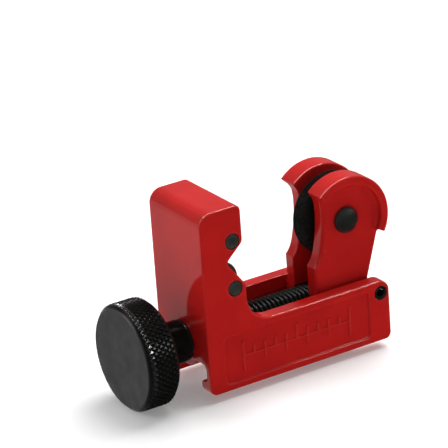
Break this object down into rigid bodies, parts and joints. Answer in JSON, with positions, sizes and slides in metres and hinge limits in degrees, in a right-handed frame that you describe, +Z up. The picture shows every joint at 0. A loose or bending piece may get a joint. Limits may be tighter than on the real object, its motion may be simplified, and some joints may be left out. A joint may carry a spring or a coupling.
{
  "type": "tube cutter",
  "caption": "Small C-frame pipe cutter with a knurled feed knob, sliding forked wheel carriage, cutter wheel and two pipe rollers.",
  "frame": {"origin": "centre of the bounding box's bottom: mid-plane of the tool, at the height of the knob's lowest point", "axes": "+X along the beam and the feed screw, from the knob to the frame's open end; +Y across the frame; +Z up, from the channel's underside to the top of the upright"},
  "size_m": [0.0732, 0.027, 0.0491],
  "materials": {
    "red_enamel": "gloss red enamel over die-cast metal",
    "black_knob": "satin black, diamond knurled rim",
    "black_oxide": "black oxide, lightly oiled",
    "dark_steel": "dark hardened steel, satin"
  },
  "bodies": {
    "frame": {"frame": "red_enamel", "upper_roller_pin": "dark_steel", "lower_roller_pin": "dark_steel", "end_stop_pin": "black_oxide"},
    "feed": {"feed_screw": "black_oxide", "knob": "black_knob", "knob_cross_pin": "dark_steel", "outer_thrust_washer": "dark_steel", "inner_thrust_washer": "dark_steel"},
    "carriage": {"carriage": "red_enamel", "wheel_axle": "black_oxide", "axle_clip": "dark_steel"},
    "cutter_wheel": {"cutter_wheel": "black_oxide"},
    "upper_roller": {"upper_roller": "dark_steel"},
    "lower_roller": {"lower_roller": "dark_steel"}
  },
  "joints": [
    {"name": "knob_spin", "type": "hinge", "parent": "frame", "child": "feed", "pos_m": [0, 0, 0.0135], "axis": [1, 0, 0], "range_deg": [0, 6480]},
    {"name": "carriage_slide", "type": "slide", "parent": "frame", "child": "carriage", "axis": [-1, 0, 0], "range_m": [0, 0.0226]},
    {"name": "wheel_spin", "type": "hinge", "parent": "carriage", "child": "cutter_wheel", "pos_m": [0.0249, 0, 0.0348], "axis": [0, 1, 0], "continuous": true},
    {"name": "upper_roller_spin", "type": "hinge", "parent": "frame", "child": "upper_roller", "pos_m": [-0.01045, 0, 0.0403], "axis": [0, 1, 0], "continuous": true},
    {"name": "lower_roller_spin", "type": "hinge", "parent": "frame", "child": "lower_roller", "pos_m": [-0.01045, 0, 0.02815], "axis": [0, 1, 0], "continuous": true}
  ],
  "couplings": [
    {"joint": "carriage_slide", "follows": "knob_spin", "m_per_rad": 0.00019894}
  ]
}
